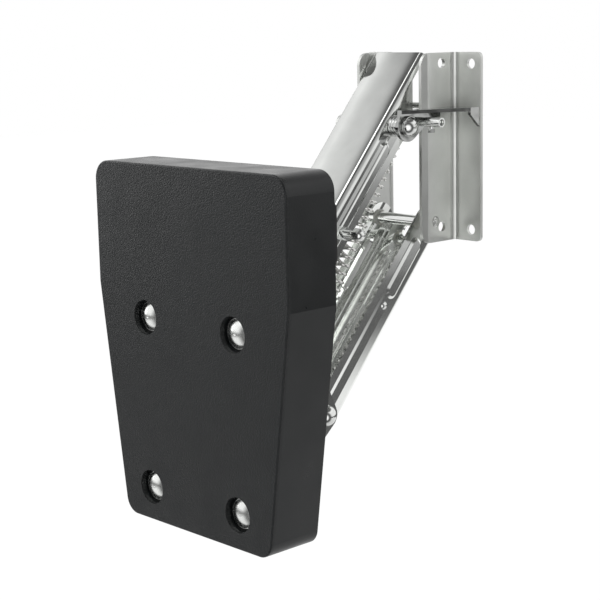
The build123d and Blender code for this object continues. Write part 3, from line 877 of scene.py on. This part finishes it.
class BRACKET_OT_add_springs(bpy.types.Operator):
    """Add the two round-wire extension springs and the lock pin's spring"""

    bl_idname = "bracket.add_springs"
    bl_label = "Add Springs"

    def execute(self, context):
        spring = context.scene.bracket.spring
        material = steel_material(
            "spring_steel", context.scene.bracket.steel.wire_color, 0.15
        )[0]
        anchor, far_anchor = Vector(spring.anchor), Vector(spring.far_anchor)
        down = (far_anchor - anchor).normalized()
        side = down.cross(Vector((1, 0, 0)))
        turn = Matrix((side, down.cross(side), down)).transposed().to_4x4()
        first = model_spring(spring)
        for name, x in (("right", spring.apart), ("left", -spring.apart)):
            wire = first.copy()
            wire.data = first.data.copy()
            context.collection.objects.link(wire)
            wire.matrix_world = Matrix.Translation(anchor + Vector((x, 0, 0))) @ turn
            apply_place(wire)
            finish_piece(wire, "spring_wire_" + name, material, "springs")
            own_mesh(wire)
            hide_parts("spring_" + name)
        bpy.data.objects.remove(first)
        coil = model_lock_spring(spring)
        finish_piece(coil, "lock_spring_wire", material, "transom")
        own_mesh(coil)
        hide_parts("lock_pin_spring")
        return {"FINISHED"}


class BRACKET_OT_set_stage(bpy.types.Operator):
    """Set the floor, the studio light and the camera"""

    bl_idname = "bracket.set_stage"
    bl_label = "Set Stage"

    def execute(self, context):
        stage = context.scene.bracket.stage
        add_floor(stage)
        light_world(context.scene)
        add_lamp("key_lamp", KEY_PLACE, KEY_WIDTH, stage.key_power)
        add_lamp("fill_lamp", FILL_PLACE, FILL_WIDTH, stage.fill_power)
        add_camera(stage)
        context.scene.view_settings.view_transform = "Standard"
        return {"FINISHED"}


def add_floor(stage):
    """Pale floor that stays white where nothing shades it, and that no reflection shows."""
    deselect()
    bpy.ops.mesh.primitive_grid_add(
        x_subdivisions=8, y_subdivisions=8, size=16, location=(0, 0, stage.floor_height)
    )
    floor = bpy.context.active_object
    apply_place(floor)
    floor.name = "floor"
    material, shader = new_material("pale_floor", (0.9, 0.9, 0.9), metallic=0, roughness=0.9)
    shader.inputs["Specular IOR Level"].default_value = 0
    nodes, links = material.node_tree.nodes, material.node_tree.links
    glow = nodes.new("ShaderNodeEmission")
    path = nodes.new("ShaderNodeLightPath")
    share = nodes.new("ShaderNodeMath")
    share.operation = "MULTIPLY"
    share.inputs[1].default_value = FLOOR_GLOW_SHARE
    glow.inputs["Strength"].default_value = FLOOR_GLOW
    mix = nodes.new("ShaderNodeMixShader")
    clear = nodes.new("ShaderNodeBsdfTransparent")
    mirrored = nodes.new("ShaderNodeMixShader")
    links.new(path.outputs["Is Camera Ray"], share.inputs[0])
    links.new(share.outputs["Value"], mix.inputs["Fac"])
    links.new(shader.outputs["BSDF"], mix.inputs[1])
    links.new(glow.outputs["Emission"], mix.inputs[2])
    links.new(path.outputs["Is Glossy Ray"], mirrored.inputs["Fac"])
    links.new(mix.outputs["Shader"], mirrored.inputs[1])
    links.new(clear.outputs["BSDF"], mirrored.inputs[2])
    links.new(mirrored.outputs["Shader"], nodes["Material Output"].inputs["Surface"])
    floor.data.materials.append(material)


def light_world(scene):
    """White backdrop. Glossy surfaces see it as a studio, with a dark strip a little below
    the horizon, a dark ceiling, and a soft bright panel in a dark surround."""
    world = bpy.data.worlds.new("studio")
    scene.world = world
    world.use_nodes = True
    nodes, links = world.node_tree.nodes, world.node_tree.links
    plain = nodes["Background"]
    plain.inputs["Color"].default_value = (1, 1, 1, 1)
    plain.inputs["Strength"].default_value = BACKDROP_LIGHT
    white = nodes.new("ShaderNodeBackground")
    white.inputs["Color"].default_value = (1, 1, 1, 1)
    studio = nodes.new("ShaderNodeBackground")
    place = nodes.new("ShaderNodeTexCoord")
    split = nodes.new("ShaderNodeSeparateXYZ")
    height = nodes.new("ShaderNodeMapRange")
    height.inputs["From Min"].default_value = -1
    ramp = nodes.new("ShaderNodeValToRGB")
    bands = ramp.color_ramp.elements
    while len(bands) < len(STUDIO_BANDS):
        bands.new(0.5)
    for band, (at, level) in zip(bands, STUDIO_BANDS):
        band.position = at
        band.color = (level, level, level, 1)
    links.new(place.outputs["Generated"], split.inputs["Vector"])
    links.new(split.outputs["Z"], height.inputs["Value"])
    links.new(height.outputs["Result"], ramp.inputs["Fac"])
    toward = nodes.new("ShaderNodeVectorMath")
    toward.operation = "DOT_PRODUCT"
    toward.inputs[1].default_value = Vector(PANEL_DIRECTION).normalized()
    links.new(place.outputs["Generated"], toward.inputs[0])
    seen_level = ramp.outputs["Color"]
    for start, end, level in PANELS:
        edge = nodes.new("ShaderNodeMapRange")
        edge.inputs["From Min"].default_value = start
        edge.inputs["From Max"].default_value = end
        panel = nodes.new("ShaderNodeMix")
        panel.data_type = "RGBA"
        panel.inputs["B"].default_value = (level, level, level, 1)
        links.new(toward.outputs["Value"], edge.inputs["Value"])
        links.new(edge.outputs["Result"], panel.inputs["Factor"])
        links.new(seen_level, panel.inputs["A"])
        seen_level = panel.outputs["Result"]
    links.new(seen_level, studio.inputs["Color"])
    path = nodes.new("ShaderNodeLightPath")
    glossy = nodes.new("ShaderNodeMixShader")
    seen = nodes.new("ShaderNodeMixShader")
    links.new(path.outputs["Is Glossy Ray"], glossy.inputs["Fac"])
    links.new(plain.outputs["Background"], glossy.inputs[1])
    links.new(studio.outputs["Background"], glossy.inputs[2])
    links.new(path.outputs["Is Camera Ray"], seen.inputs["Fac"])
    links.new(glossy.outputs["Shader"], seen.inputs[1])
    links.new(white.outputs["Background"], seen.inputs[2])
    links.new(seen.outputs["Shader"], nodes["World Output"].inputs["Surface"])


def add_lamp(name, place, width, power):
    """Square soft lamp that faces the bracket."""
    turn = (Vector(LAMP_TARGET) - Vector(place)).to_track_quat("-Z", "Y").to_euler()
    bpy.ops.object.light_add(type="AREA", radius=width, location=place, rotation=turn)
    lamp = bpy.context.active_object
    lamp.name = name
    lamp.data.size = width
    lamp.data.energy = power


def add_camera(stage):
    """Camera at the photograph's place, turn and lens."""
    turn = (
        Matrix.Rotation(stage.camera_azimuth, 4, "Z")
        @ Matrix.Rotation(pi / 2 - stage.camera_elevation, 4, "X")
        @ Matrix.Rotation(stage.camera_roll, 4, "Z")
    )
    bpy.ops.object.camera_add(location=stage.camera_place, rotation=turn.to_euler())
    camera = bpy.context.active_object
    camera.data.lens = stage.lens
    bpy.context.scene.camera = camera


class BRACKET_PT_panel(bpy.types.Panel):
    """Shows a button for each of the bracket's operators"""

    bl_idname = "BRACKET_PT_panel"
    bl_label = "Outboard Motor Bracket"
    bl_space_type = "VIEW_3D"
    bl_region_type = "UI"
    bl_category = "Bracket"

    def draw(self, context):
        for operator in OPERATORS:
            self.layout.operator(operator.bl_idname)


OPERATORS = (
    BRACKET_OT_finish_steel,
    BRACKET_OT_add_fittings,
    BRACKET_OT_finish_plastic,
    BRACKET_OT_add_springs,
    BRACKET_OT_set_stage,
)
CLASSES = (
    SteelSettings, ArmSettings, FittingSettings, SpringSettings, PlasticSettings,
    StageSettings, BracketSettings,
    *OPERATORS, BRACKET_PT_panel,
)


def register():
    for cls in CLASSES:
        bpy.utils.register_class(cls)
    bpy.types.Scene.bracket = PointerProperty(type=BracketSettings)


def unregister():
    del bpy.types.Scene.bracket
    for cls in reversed(CLASSES):
        bpy.utils.unregister_class(cls)


def main():
    register()
    bpy.ops.bracket.finish_steel()
    bpy.ops.bracket.add_fittings()
    bpy.ops.bracket.finish_plastic()
    bpy.ops.bracket.add_springs()
    bpy.ops.bracket.set_stage()


if __name__ == "__main__":
    main()
